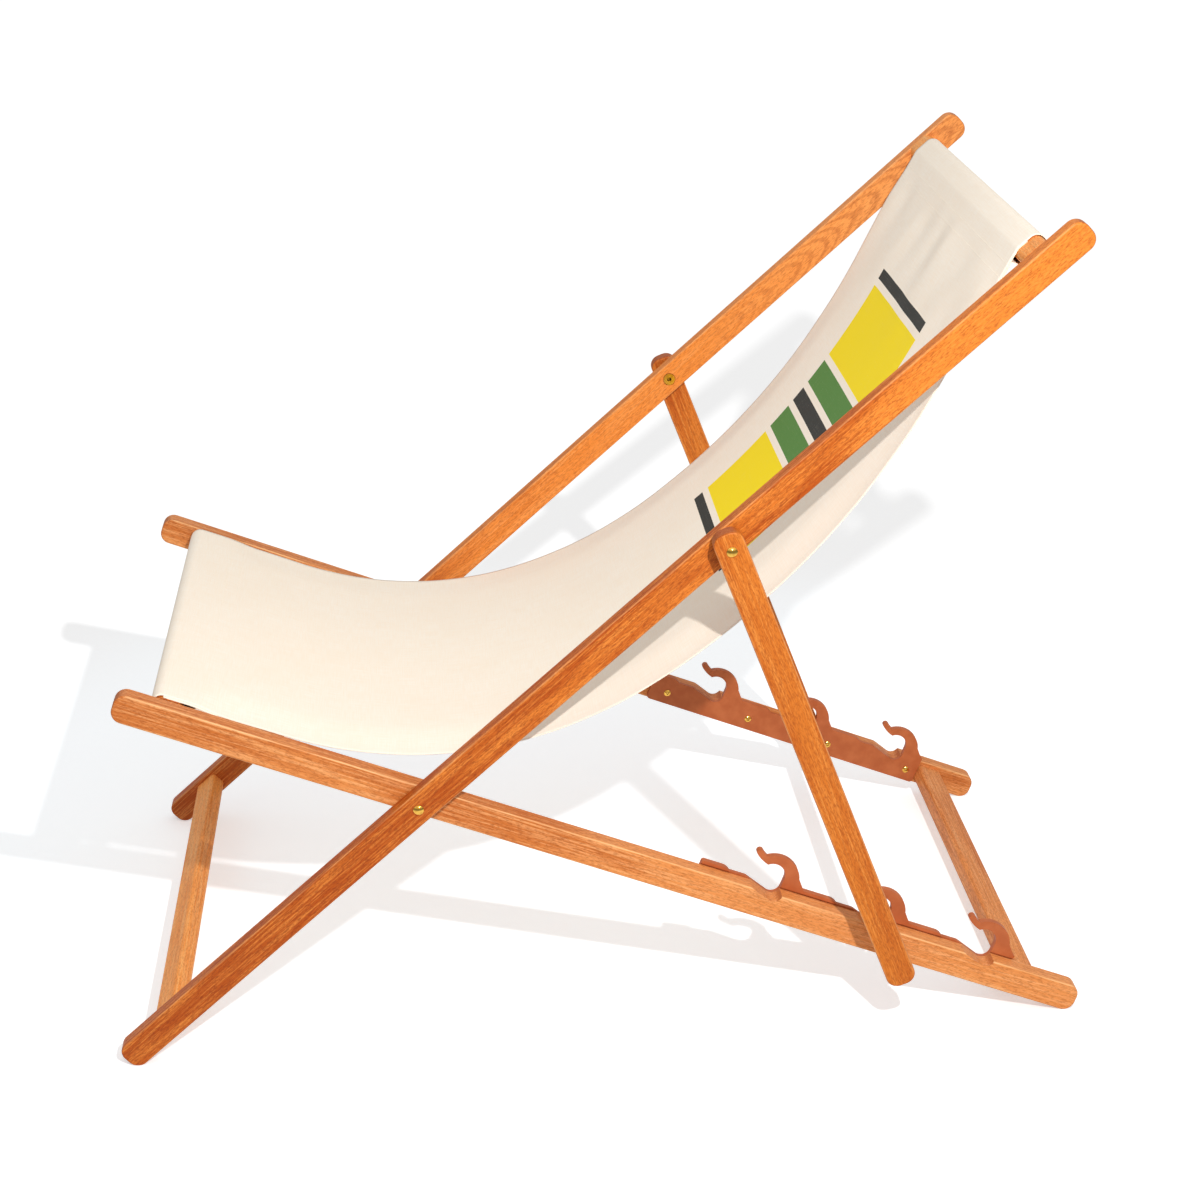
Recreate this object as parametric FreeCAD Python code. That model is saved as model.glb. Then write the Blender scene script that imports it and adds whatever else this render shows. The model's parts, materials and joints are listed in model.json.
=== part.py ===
import FreeCAD, Part
import math
import os

# A wooden folding sling chair: a long back frame, a seat frame that pivots inside it, and a prop frame
# whose dowel drops into the hooked racks on the seat frame. Millimetres and degrees.
# X runs across the chair, the sitter faces -Y, and Z is up from the floor.
# The sitter's left side is at +X. Each frame is drawn flat on its own line: along it (s) and across it (n).

# Rails of the three frames
RAIL_WIDTH = 30.0
SEAT_RAIL_THICK = 20.0
BACK_RAIL_THICK = 18.0
STRUT_THICK = 18.0
SEAT_HALF_SPAN = 239.0       # from the middle plane to the seat rails' inner faces
MAIN_GAP = 3.0               # between seat rail and back rail
PROP_GAP = 8.0               # between back rail and strut
END_ROUND = 12.0
EDGE_ROUND = 2.0
FOOT_FLAT = 0.5              # depth of the flat worn under each foot

# Lengths along each frame, from its pivot
BACK_BELOW = 407.0
BACK_ABOVE = 843.0
SEAT_FRONT = 311.0
SEAT_REAR = 728.0
PROP_PIVOT_UP = 404.0
STRUT_ABOVE = 19.0
STRUT_BELOW = 510.0
PROP_REACH = 465.0           # from the strut's pivot to the middle of its dowel

# Crossbars
BAR_WIDTH = 30.0
BAR_THICK = 20.0
FOOT_BAR_ROUND = 5.0
SLING_BAR_ROUND = 8.0
SLING_BAR_INSET = 51.0       # from a rail's end to the middle of its sling bar
FOOT_BAR_INSET = 60.0        # from the back rail's lower end to the middle of its foot bar
DOWEL_DIAMETER = 18.0
TENON_DIAMETER = 12.0
TENON_LENGTH = 12.0
GLUE_GAP = 0.05

# Notched racks
NOTCH_COUNT = 3
NOTCH_IN_USE = 1             # counted from the front, starting at 0
FIRST_NOTCH = 376.5          # from the main pivot to the dowel's place in the front notch
NOTCH_PITCH = 120.0
NOTCH_HEIGHT = 16.5          # dowel's middle above the seat rail's middle line
NOTCH_CLEARANCE = 0.4
RAMP_ANGLE = 19.0
RACK_THICK = 5.0
RACK_BELOW = 14.0
RACK_ABOVE = 16.5
RACK_FRONT_TAIL = 78.5       # from the rack's front end to the first notch
RACK_REAR_TAIL = 35.5        # from the last notch to the rack's rear end
RACK_END_GAP = 0.5           # between the rack's rear end and the rear bar
RACK_CORNER = 4.0
LEDGE_HEIGHT = 20.0
LEDGE_END = 64.0             # from a notch to where the ledge behind its hook starts to fall
LEDGE_FALL = 9.0             # length of the ledge's falling end
LEDGE_CORNER = 2.5
LIP_OVERHANG = 2.0           # how far hooks and ledges reach over the seat rail's edge
HOOK_ROOT = 34.0             # from a notch to the rear foot of its hook
CROOK_RADIUS = 13.4          # inner curve of a hook
CROOK_RISE = 10.0
CROOK_SWEEP = 130.0
HOOK_BACK_RADIUS = 27.0      # outer curve of a hook
HOOK_BACK_CENTRE = (3.0, -4.0)
HOOK_BACK_START = 18.0
HOOK_BACK_SWEEP = 106.0
TIP_CENTRE = (-21.4, 20.4)   # from the crook's centre
TIP_RADIUS = 3.6
TIP_BULGE = 0.8

# Rack screws
SCREW_FIRST = 22.0           # from the rack's front end
SCREW_LAST = 14.0            # from the rack's rear end
SCREW_COUNT = 4
SCREW_HEAD_DIAMETER = 8.0
SCREW_HEAD_HEIGHT = 2.2
SCREW_SOCKET_DIAMETER = 3.0
SCREW_SOCKET_DEPTH = 1.2
SCREW_SHANK_DIAMETER = 3.5
SCREW_LENGTH = 15.0

# Pivot bolts: a flanged barrel from the inside and a domed screw from the outside
BARREL_DIAMETER = 7.0
BARREL_BORE = 4.0
PIVOT_CLEARANCE = 0.05
FLANGE_DIAMETER = 13.0
FLANGE_THICK = 2.0
SOCKET_DIAMETER = 5.0
SOCKET_DEPTH = 5.0
RECESS_DIAMETER = 14.6
RECESS_DEPTH = 1.2
DOME_DIAMETER = 10.5
DOME_RIM = 0.8
DOME_HEIGHT = 3.0
BOLT_SHANK_SLACK = 0.1
BOLT_SHANK_LENGTH = 18.0
WASHER_DIAMETER = 20.0
SPACER_DIAMETER = 16.0
FACE_GAP = 0.1

# Canvas sling
SLING_SIDE_GAP = 5.0         # between the sling's edges and the seat rails
SLING_THICK = 1.5
SLING_GAP = 0.3              # between the sling and the bars that it goes round
SLING_FLAT_RUN = 115.0       # straight stretch behind the front bar
SLING_TOP_RUN = 125.0        # straight stretch below the top bar
SLING_MID_SLOPE = 33.0       # where the seat's curve meets the back's flatter curve
SLING_TOP_LEAN = 20.0        # between the sling's upper end and the back rails

# Spans across the chair
SLING_HALF_WIDTH = SEAT_HALF_SPAN - SLING_SIDE_GAP
SEAT_OUTER = SEAT_HALF_SPAN + SEAT_RAIL_THICK
BACK_INNER = SEAT_OUTER + MAIN_GAP
BACK_OUTER = BACK_INNER + BACK_RAIL_THICK
STRUT_INNER = BACK_OUTER + PROP_GAP
STRUT_OUTER = STRUT_INNER + STRUT_THICK
HALF_WIDTH = RAIL_WIDTH / 2
CORNER_OFFSET = HALF_WIDTH - END_ROUND
DOWEL_RADIUS = DOWEL_DIAMETER / 2
NOTCH_RADIUS = DOWEL_RADIUS + NOTCH_CLEARANCE
NOTCHES = [FIRST_NOTCH + i * NOTCH_PITCH for i in range(NOTCH_COUNT)]
RACK_FRONT = FIRST_NOTCH - RACK_FRONT_TAIL
RACK_REAR = NOTCHES[-1] + RACK_REAR_TAIL

# Places of the crossbars along their frames
SLING_BAR_N = HALF_WIDTH - BAR_THICK / 2
FRONT_BAR_S = SLING_BAR_INSET - SEAT_FRONT
TOP_BAR_S = BACK_ABOVE - SLING_BAR_INSET
REAR_BAR_S = RACK_REAR + RACK_END_GAP + BAR_WIDTH / 2
FOOT_BAR_S = FOOT_BAR_INSET - BACK_BELOW

# The opening angle follows from the triangle of main pivot, prop pivot and dowel in its notch
DOWEL_FROM_PIVOT = math.hypot(NOTCHES[NOTCH_IN_USE], NOTCH_HEIGHT)
DOWEL_RISE = math.atan2(NOTCH_HEIGHT, NOTCHES[NOTCH_IN_USE])
OPENING = DOWEL_RISE + math.acos(
    (PROP_PIVOT_UP ** 2 + DOWEL_FROM_PIVOT ** 2 - PROP_REACH ** 2) / (2 * PROP_PIVOT_UP * DOWEL_FROM_PIVOT))

# Both frames' feet reach the floor, which sets the lean of the seat and of the back
FOOT_ARM_BACK = BACK_BELOW - END_ROUND
FOOT_ARM_SEAT = SEAT_REAR - END_ROUND
SEAT_LEAN = math.atan2(
    FOOT_ARM_BACK * math.sin(OPENING) + CORNER_OFFSET * (math.cos(OPENING) - 1),
    FOOT_ARM_SEAT + FOOT_ARM_BACK * math.cos(OPENING) - CORNER_OFFSET * math.sin(OPENING))
BACK_LEAN = OPENING - SEAT_LEAN
PIVOT_HEIGHT = (FOOT_ARM_SEAT * math.sin(SEAT_LEAN) + CORNER_OFFSET * math.cos(SEAT_LEAN)
                + END_ROUND - FOOT_FLAT)
REACH_FORWARD = FOOT_ARM_BACK * math.cos(BACK_LEAN) + CORNER_OFFSET * math.sin(BACK_LEAN) + END_ROUND
REACH_REARWARD = FOOT_ARM_SEAT * math.cos(SEAT_LEAN) + CORNER_OFFSET * math.sin(SEAT_LEAN) + END_ROUND

# The origin lies on the floor under the middle of the chair
MAIN_PIVOT = FreeCAD.Vector(0, (REACH_FORWARD - REACH_REARWARD) / 2, PIVOT_HEIGHT)
X_AXIS = FreeCAD.Vector(1, 0, 0)
ORIGIN = FreeCAD.Vector(0, 0, 0)


def point(s, n, x=0.0):
    return FreeCAD.Vector(x, s, n)


def turned(angle):
    return FreeCAD.Rotation(X_AXIS, math.degrees(angle))


SEAT_PLACE = FreeCAD.Placement(MAIN_PIVOT, turned(-SEAT_LEAN))
BACK_PLACE = FreeCAD.Placement(MAIN_PIVOT, turned(BACK_LEAN))
PROP_PIVOT = BACK_PLACE.multVec(point(PROP_PIVOT_UP, 0))
DOWEL_MIDDLE = SEAT_PLACE.multVec(point(NOTCHES[NOTCH_IN_USE], NOTCH_HEIGHT))
PROP_LEAN = math.atan2(DOWEL_MIDDLE.z - PROP_PIVOT.z, DOWEL_MIDDLE.y - PROP_PIVOT.y)
PROP_PLACE = FreeCAD.Placement(PROP_PIVOT, turned(PROP_LEAN))


def block(x0, x1, s0, s1, n0, n1, corner):
    """A bar along X with its four long corners rounded."""
    box = Part.makeBox(x1 - x0, s1 - s0, n1 - n0, point(s0, n0, x0))
    along_x = [e for e in box.Edges if abs(e.Vertexes[0].X - e.Vertexes[1].X) > (x1 - x0) / 2]
    return box.makeFillet(corner, along_x)


def rod(diameter, x0, x1, s=0.0, n=0.0):
    return Part.makeCylinder(diameter / 2, x1 - x0, point(s, n, x0), X_AXIS)


def rail(x0, x1, s0, s1):
    """A flat rail with round ends and softened edges."""
    slab = block(x0, x1, s0, s1, -HALF_WIDTH, HALF_WIDTH, END_ROUND)
    rims = [e for e in slab.Edges if abs(e.BoundBox.XMax - e.BoundBox.XMin) < EDGE_ROUND / 2]
    return slab.makeFillet(EDGE_ROUND, rims)


def pivot_bore(x0, x1, s=0.0):
    return rod(BARREL_DIAMETER + 2 * PIVOT_CLEARANCE, x0, x1, s)


def flange_recess(inner_face, s=0.0):
    return rod(RECESS_DIAMETER, inner_face - 1, inner_face + RECESS_DEPTH, s)


def tenon_bore(inner_face, s, n=0.0):
    return rod(TENON_DIAMETER + 2 * GLUE_GAP, inner_face - 1, inner_face + TENON_LENGTH + GLUE_GAP, s, n)


def wire_face(edges):
    return Part.Face(Part.Wire(Part.__sortEdges__([e.toShape() for e in edges])))


def line(a, b):
    return Part.LineSegment(a, b)


def arc(a, middle, b):
    return Part.Arc(a, middle, b)


def on_circle(centre, radius, degrees):
    return point(centre[0] + radius * math.cos(math.radians(degrees)),
                 centre[1] + radius * math.sin(math.radians(degrees)))


def notch_edges(s, top):
    """The ramp, the round bed and the rear wall of one notch, up to a height above the middle line."""
    bed = (s, NOTCH_HEIGHT)
    foot_angle = 270 - RAMP_ANGLE
    foot = on_circle(bed, NOTCH_RADIUS, foot_angle)
    ramp_top = point(foot.y - (top - foot.z) / math.tan(math.radians(RAMP_ANGLE)), top)
    wall_foot = on_circle(bed, NOTCH_RADIUS, 360)
    bed_middle = on_circle(bed, NOTCH_RADIUS, (foot_angle + 360) / 2)
    return ramp_top, [line(ramp_top, foot), arc(foot, bed_middle, wall_foot)], wall_foot


def notch_cutter(s, x0, x1):
    top = HALF_WIDTH + NOTCH_RADIUS
    ramp_top, edges, wall_foot = notch_edges(s, top)
    wall_top = point(wall_foot.y, top)
    edges += [line(wall_foot, wall_top), line(wall_top, ramp_top)]
    return wire_face(edges).extrude(X_AXIS * (x1 - x0 + 2)).translated(X_AXIS * (x0 - 1))


def hook_edges(s, wall_foot):
    """One hook: from the notch's rear wall round the crook to the tip, then over the back to its root."""
    crook = (wall_foot.y - CROOK_RADIUS, NOTCH_HEIGHT + CROOK_RISE)
    back = (crook[0] + HOOK_BACK_CENTRE[0], crook[1] + HOOK_BACK_CENTRE[1])
    tip = (crook[0] + TIP_CENTRE[0], crook[1] + TIP_CENTRE[1])
    crook_foot = point(wall_foot.y, crook[1])
    crook_end = on_circle(crook, CROOK_RADIUS, CROOK_SWEEP)
    tip_under = on_circle(tip, TIP_RADIUS, 200)
    tip_over = on_circle(tip, TIP_RADIUS, 50)
    under_middle = (crook_end + tip_under) * 0.5 - point(TIP_BULGE, TIP_BULGE)
    valley = on_circle(back, HOOK_BACK_RADIUS, HOOK_BACK_START + HOOK_BACK_SWEEP)
    over_middle = (tip_over + valley) * 0.5 - point(0, TIP_BULGE / 2)
    back_foot = on_circle(back, HOOK_BACK_RADIUS, HOOK_BACK_START)
    root = point(s + HOOK_ROOT, LEDGE_HEIGHT)
    return root, [
        line(wall_foot, crook_foot),
        arc(crook_foot, on_circle(crook, CROOK_RADIUS, CROOK_SWEEP / 2), crook_end),
        arc(crook_end, under_middle, tip_under),
        arc(tip_under, on_circle(tip, TIP_RADIUS, 125), tip_over),
        arc(tip_over, over_middle, valley),
        arc(valley, on_circle(back, HOOK_BACK_RADIUS, HOOK_BACK_START + HOOK_BACK_SWEEP / 2), back_foot),
        line(back_foot, root)]


def ledge_edges(start, notch):
    """The raised ledge behind a hook, and its round fall to the rack's top edge."""
    drop = LEDGE_HEIGHT - RACK_ABOVE
    radius = (LEDGE_FALL ** 2 + drop ** 2) / (2 * drop)
    end = point(notch + LEDGE_END, LEDGE_HEIGHT)
    step = point(notch + LEDGE_END + LEDGE_FALL, RACK_ABOVE)
    half_turn = math.degrees(math.asin(LEDGE_FALL / radius)) / 2
    fall = on_circle((end.y, LEDGE_HEIGHT - radius), radius, 90 - half_turn)
    return step, [line(start, end), arc(end, fall, step)]


def rack_left():
    """A flat plate on the seat rail's inner face, with a hook behind each notch. What stands above the rail
    is thicker and reaches over the rail's rounded edge."""
    front_foot = point(RACK_FRONT, -RACK_BELOW)
    front_side = point(RACK_FRONT, LEDGE_HEIGHT - LEDGE_CORNER)
    front_top = point(RACK_FRONT + LEDGE_CORNER, LEDGE_HEIGHT)
    front_bend = on_circle((front_top.y, front_side.z), LEDGE_CORNER, 135)
    last, edges = ledge_edges(front_top, FIRST_NOTCH - NOTCH_PITCH)
    edges += [line(front_foot, front_side), arc(front_side, front_bend, front_top)]
    for s in NOTCHES:
        ramp_top, bed, wall_foot = notch_edges(s, RACK_ABOVE)
        root, hook = hook_edges(s, wall_foot)
        edges += [line(last, ramp_top)] + bed + hook
        last = root
        if s != NOTCHES[-1]:
            last, ledge = ledge_edges(root, s)
            edges += ledge
    rear_top = point(RACK_REAR, LEDGE_HEIGHT)
    rear_foot = point(RACK_REAR, -RACK_BELOW)
    edges += [line(last, rear_top), line(rear_top, rear_foot), line(rear_foot, front_foot)]
    outline = wire_face(edges)
    plate = outline.extrude(X_AXIS * RACK_THICK).translated(X_AXIS * (SEAT_HALF_SPAN - RACK_THICK))
    ends = [e for e in plate.Edges
            if abs(e.BoundBox.ZMax + RACK_BELOW) < EDGE_ROUND / 4 and e.BoundBox.XLength > RACK_THICK / 2]
    plate = plate.makeFillet(RACK_CORNER, ends)
    raised = outline.extrude(X_AXIS * LIP_OVERHANG).translated(X_AXIS * SEAT_HALF_SPAN)
    low_part = Part.makeBox(LIP_OVERHANG + 2, RACK_REAR - RACK_FRONT + 2, RACK_ABOVE + RACK_BELOW + 1,
                            point(RACK_FRONT - 1, -RACK_BELOW - 1, SEAT_HALF_SPAN - 1))
    plate = plate.fuse(raised.cut(low_part)).removeSplitter()
    for s in screw_places():
        plate = plate.cut(rod(SCREW_SHANK_DIAMETER + 2 * GLUE_GAP, SEAT_HALF_SPAN - RACK_THICK - 1,
                              SEAT_HALF_SPAN + 1, s))
    return plate


def screw_places():
    pitch = (RACK_REAR - SCREW_LAST - RACK_FRONT - SCREW_FIRST) / (SCREW_COUNT - 1)
    return [RACK_FRONT + SCREW_FIRST + i * pitch for i in range(SCREW_COUNT)]


def rack_screws_left():
    """Round-head screws through the rack into the seat rail."""
    face = SEAT_HALF_SPAN - RACK_THICK
    screws = []
    for s in screw_places():
        head = dome(SCREW_HEAD_DIAMETER, SCREW_HEAD_HEIGHT / 3, SCREW_HEAD_HEIGHT, face, -1, s)
        socket = rod(SCREW_SOCKET_DIAMETER, face - SCREW_HEAD_HEIGHT - 1,
                     face - SCREW_HEAD_HEIGHT + SCREW_SOCKET_DEPTH, s)
        shank = rod(SCREW_SHANK_DIAMETER, face, face + SCREW_LENGTH, s)
        screws.append(head.fuse(shank).cut(socket).removeSplitter())
    return Part.makeCompound(screws)


def dome(diameter, rim, height, face, way, s=0.0):
    """A domed head that stands on a face, towards +X or -X."""
    cap = height - rim
    ball = ((diameter / 2) ** 2 + cap ** 2) / (2 * cap)
    middle = face + way * (height - ball)
    ends = sorted((face, face + way * height))
    return rod(diameter, ends[0], ends[1], s).common(Part.makeSphere(ball, point(s, 0, middle)))


def seat_rail_left():
    body = rail(SEAT_HALF_SPAN, SEAT_OUTER, -SEAT_FRONT, SEAT_REAR)
    cuts = [pivot_bore(SEAT_HALF_SPAN - 1, SEAT_OUTER + 1),
            flange_recess(SEAT_HALF_SPAN),
            tenon_bore(SEAT_HALF_SPAN, FRONT_BAR_S, SLING_BAR_N),
            tenon_bore(SEAT_HALF_SPAN, REAR_BAR_S)]
    cuts += [notch_cutter(s, SEAT_HALF_SPAN, SEAT_OUTER) for s in NOTCHES]
    cuts += [rod(SCREW_SHANK_DIAMETER + 2 * GLUE_GAP, SEAT_HALF_SPAN - 1,
                 SEAT_HALF_SPAN - RACK_THICK + SCREW_LENGTH + GLUE_GAP, s) for s in screw_places()]
    return on_floor(body.cut(cuts), SEAT_PLACE)


def back_rail_left():
    body = rail(BACK_INNER, BACK_OUTER, -BACK_BELOW, BACK_ABOVE)
    cuts = [pivot_bore(BACK_INNER - 1, BACK_OUTER + 1),
            pivot_bore(BACK_INNER - 1, BACK_OUTER + 1, PROP_PIVOT_UP),
            flange_recess(BACK_INNER, PROP_PIVOT_UP),
            tenon_bore(BACK_INNER, TOP_BAR_S, SLING_BAR_N),
            tenon_bore(BACK_INNER, FOOT_BAR_S)]
    return on_floor(body.cut(cuts), BACK_PLACE)


def strut_left():
    body = rail(STRUT_INNER, STRUT_OUTER, -STRUT_ABOVE, STRUT_BELOW)
    cuts = [pivot_bore(STRUT_INNER - 1, STRUT_OUTER + 1), tenon_bore(STRUT_INNER, PROP_REACH)]
    return body.cut(cuts)


def on_floor(shape, placement):
    """Sets a frame piece in place and cuts the worn flat under its foot."""
    placed = moved(shape, placement)
    box = placed.BoundBox
    floor = Part.makeBox(box.XLength + 2, box.YLength + 2, END_ROUND,
                         FreeCAD.Vector(box.XMin - 1, box.YMin - 1, -END_ROUND))
    return placed.cut(floor)


def moved(shape, placement):
    return shape.transformed(placement.toMatrix())


def crossbar(half_span, s, n, corner):
    """A flat bar between two rails, with a round tenon into each."""
    bar = block(-half_span, half_span, s - BAR_WIDTH / 2, s + BAR_WIDTH / 2,
                n - BAR_THICK / 2, n + BAR_THICK / 2, corner)
    tenon = rod(TENON_DIAMETER, -half_span - TENON_LENGTH, half_span + TENON_LENGTH, s, n)
    return bar.fuse(tenon).removeSplitter()


def prop_dowel():
    dowel = rod(DOWEL_DIAMETER, -STRUT_INNER, STRUT_INNER, PROP_REACH)
    tenon = rod(TENON_DIAMETER, -STRUT_INNER - TENON_LENGTH, STRUT_INNER + TENON_LENGTH, PROP_REACH)
    return dowel.fuse(tenon).removeSplitter()


def barrel(inner_face, outer_face, s):
    """A sleeve whose flange sits in a recess of the inner face, with a socket and a threaded bore."""
    flange_back = inner_face + RECESS_DEPTH - FACE_GAP
    flange_face = flange_back - FLANGE_THICK
    flange = rod(FLANGE_DIAMETER, flange_face, flange_back, s)
    sleeve = rod(BARREL_DIAMETER, flange_face, outer_face, s)
    socket = rod(SOCKET_DIAMETER, flange_face - 1, flange_face + SOCKET_DEPTH, s)
    bore = rod(BARREL_BORE, outer_face - BOLT_SHANK_LENGTH - 1, outer_face + 1, s)
    return flange.fuse(sleeve).cut([socket, bore]).removeSplitter()


def domed_screw(outer_face, s):
    head = dome(DOME_DIAMETER, DOME_RIM, DOME_HEIGHT, outer_face + FACE_GAP, 1, s)
    shank = rod(BARREL_BORE - BOLT_SHANK_SLACK, outer_face - BOLT_SHANK_LENGTH, outer_face + FACE_GAP, s)
    return head.fuse(shank).removeSplitter()


def ring(diameter, x0, x1, s):
    hole = rod(BARREL_DIAMETER + 2 * PIVOT_CLEARANCE, x0 - 1, x1 + 1, s)
    return rod(diameter, x0 + FACE_GAP, x1 - FACE_GAP, s).cut(hole)


def sling_loop(s, n, placement):
    """The hem that closes round a sling bar."""
    half_s = BAR_WIDTH / 2 + SLING_GAP
    half_n = BAR_THICK / 2 + SLING_GAP
    inner = SLING_BAR_ROUND + SLING_GAP
    side = SLING_HALF_WIDTH
    outside = block(-side, side, s - half_s - SLING_THICK, s + half_s + SLING_THICK,
                    n - half_n - SLING_THICK, n + half_n + SLING_THICK, inner + SLING_THICK)
    inside = block(-side - 1, side + 1, s - half_s, s + half_s, n - half_n, n + half_n, inner)
    return moved(outside.cut(inside), placement)


def heading(angle):
    return FreeCAD.Vector(0, math.cos(angle), math.sin(angle))


def upright(angle):
    return FreeCAD.Vector(0, -math.sin(angle), math.cos(angle))


def sling_sheet():
    """The hanging sheet: a straight run off the front bar, the seat's round sag, the flatter back and a last
    straight run up to the top bar."""
    start_angle = -SEAT_LEAN
    mid_angle = math.radians(SLING_MID_SLOPE)
    lean = math.radians(SLING_TOP_LEAN)
    end_angle = BACK_LEAN + lean
    skin = SLING_GAP + SLING_THICK / 2
    start = SEAT_PLACE.multVec(point(FRONT_BAR_S, SLING_BAR_N + BAR_THICK / 2 + skin))
    corner = point(TOP_BAR_S - BAR_WIDTH / 2 + SLING_BAR_ROUND, SLING_BAR_N + BAR_THICK / 2 - SLING_BAR_ROUND)
    end = BACK_PLACE.multVec(corner + upright(lean) * (SLING_BAR_ROUND + skin))
    sag_start = start + heading(start_angle) * SLING_FLAT_RUN
    back_end = end - heading(end_angle) * SLING_TOP_RUN
    span = back_end - sag_start
    sag = upright(start_angle) - upright(mid_angle)
    rise = upright(mid_angle) - upright(end_angle)
    det = sag.y * rise.z - sag.z * rise.y
    sag_radius = (span.y * rise.z - span.z * rise.y) / det
    back_radius = (sag.y * span.z - sag.z * span.y) / det
    sag_centre = sag_start + upright(start_angle) * sag_radius
    back_centre = back_end + upright(end_angle) * back_radius
    sag_middle = (start_angle + mid_angle) / 2
    back_middle = (mid_angle + end_angle) / 2
    sides = []
    for half in (SLING_THICK / 2, -SLING_THICK / 2):
        sides.append([start + upright(start_angle) * half,
                      sag_start + upright(start_angle) * half,
                      sag_centre - upright(sag_middle) * (sag_radius - half),
                      sag_centre - upright(mid_angle) * (sag_radius - half),
                      back_centre - upright(back_middle) * (back_radius - half),
                      back_end + upright(end_angle) * half,
                      end + upright(end_angle) * half])
    edges = [line(sides[0][0], sides[1][0]), line(sides[0][6], sides[1][6])]
    for p in sides:
        edges += [line(p[0], p[1]), arc(p[1], p[2], p[3]), arc(p[3], p[4], p[5]), line(p[5], p[6])]
    length = (SLING_FLAT_RUN + sag_radius * (mid_angle - start_angle)
              + back_radius * (end_angle - mid_angle) + SLING_TOP_RUN)
    print("sling: seat radius %.1f, back radius %.1f, sheet length %.1f" % (sag_radius, back_radius, length))
    sheet = wire_face(edges).extrude(X_AXIS * (2 * SLING_HALF_WIDTH))
    return sheet.translated(X_AXIS * -SLING_HALF_WIDTH)


def sling():
    front = sling_loop(FRONT_BAR_S, SLING_BAR_N, SEAT_PLACE)
    top = sling_loop(TOP_BAR_S, SLING_BAR_N, BACK_PLACE)
    return sling_sheet().fuse([front, top]).removeSplitter()


def mirrored(shape):
    return shape.mirror(ORIGIN, X_AXIS)


def pairs():
    """Pieces that the chair has on both sides, drawn on the left."""
    return {
        "seat_rail": seat_rail_left(),
        "back_rail": back_rail_left(),
        "prop_strut": moved(strut_left(), PROP_PLACE),
        "notched_rack": moved(rack_left(), SEAT_PLACE),
        "rack_screws": moved(rack_screws_left(), SEAT_PLACE),
        "main_pivot_barrel": moved(barrel(SEAT_HALF_SPAN, BACK_OUTER, 0), BACK_PLACE),
        "main_pivot_screw": moved(domed_screw(BACK_OUTER, 0), BACK_PLACE),
        "main_pivot_washer": moved(ring(WASHER_DIAMETER, SEAT_OUTER, BACK_INNER, 0), BACK_PLACE),
        "prop_pivot_barrel": moved(barrel(BACK_INNER, STRUT_OUTER, PROP_PIVOT_UP), BACK_PLACE),
        "prop_pivot_screw": moved(domed_screw(STRUT_OUTER, PROP_PIVOT_UP), BACK_PLACE),
        "prop_pivot_spacer": moved(ring(SPACER_DIAMETER, BACK_OUTER, STRUT_INNER, PROP_PIVOT_UP), BACK_PLACE),
    }


def singles():
    return {
        "seat_front_bar": moved(
            crossbar(SEAT_HALF_SPAN, FRONT_BAR_S, SLING_BAR_N, SLING_BAR_ROUND), SEAT_PLACE),
        "seat_rear_bar": moved(crossbar(SEAT_HALF_SPAN, REAR_BAR_S, 0, FOOT_BAR_ROUND), SEAT_PLACE),
        "back_top_bar": moved(crossbar(BACK_INNER, TOP_BAR_S, SLING_BAR_N, SLING_BAR_ROUND), BACK_PLACE),
        "back_foot_bar": moved(crossbar(BACK_INNER, FOOT_BAR_S, 0, FOOT_BAR_ROUND), BACK_PLACE),
        "prop_dowel": moved(prop_dowel(), PROP_PLACE),
        "sling": sling(),
    }


def main():
    os.makedirs("parts", exist_ok=True)
    nodes = singles()
    for name, shape in pairs().items():
        nodes[name + "_left"] = shape
        nodes[name + "_right"] = mirrored(shape)
    for name, shape in nodes.items():
        shape.exportStep("parts/" + name + ".step")
    print("seat lean %.3f, back lean %.3f, prop lean %.3f degrees" % (
        math.degrees(SEAT_LEAN), math.degrees(BACK_LEAN), math.degrees(PROP_LEAN)))
    print("main pivot y %.4f z %.4f, prop pivot y %.4f z %.4f" % (
        MAIN_PIVOT.y, MAIN_PIVOT.z, PROP_PIVOT.y, PROP_PIVOT.z))


main()
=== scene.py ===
import cmath
import json
import math

import bpy
from mathutils import Matrix, Vector, noise

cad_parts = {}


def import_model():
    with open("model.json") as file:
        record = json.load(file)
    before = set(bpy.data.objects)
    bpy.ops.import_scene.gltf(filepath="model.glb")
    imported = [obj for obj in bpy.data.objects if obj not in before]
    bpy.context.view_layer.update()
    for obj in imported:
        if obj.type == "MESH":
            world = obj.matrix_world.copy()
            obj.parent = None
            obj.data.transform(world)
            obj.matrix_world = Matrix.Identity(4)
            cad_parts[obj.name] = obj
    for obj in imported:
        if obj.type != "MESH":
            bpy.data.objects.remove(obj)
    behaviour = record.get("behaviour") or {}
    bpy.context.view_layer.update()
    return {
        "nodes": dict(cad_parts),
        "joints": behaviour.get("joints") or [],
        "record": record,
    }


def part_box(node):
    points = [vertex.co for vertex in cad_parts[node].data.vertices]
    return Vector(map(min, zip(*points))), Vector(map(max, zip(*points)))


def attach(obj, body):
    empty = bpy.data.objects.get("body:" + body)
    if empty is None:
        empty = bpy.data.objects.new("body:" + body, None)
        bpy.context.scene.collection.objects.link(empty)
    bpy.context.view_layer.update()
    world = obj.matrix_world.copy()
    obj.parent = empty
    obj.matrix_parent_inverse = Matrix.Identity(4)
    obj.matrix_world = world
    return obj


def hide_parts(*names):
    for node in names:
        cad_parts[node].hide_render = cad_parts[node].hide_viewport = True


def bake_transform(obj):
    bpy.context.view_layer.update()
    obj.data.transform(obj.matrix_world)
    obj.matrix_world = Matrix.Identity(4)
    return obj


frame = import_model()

# A wooden folding sling chair: finishes for its three frames, and the canvas sling with sewn hems.
# Metres. The sling's section lies in the plane of Y and Z, held as complex numbers y + z j.

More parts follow.
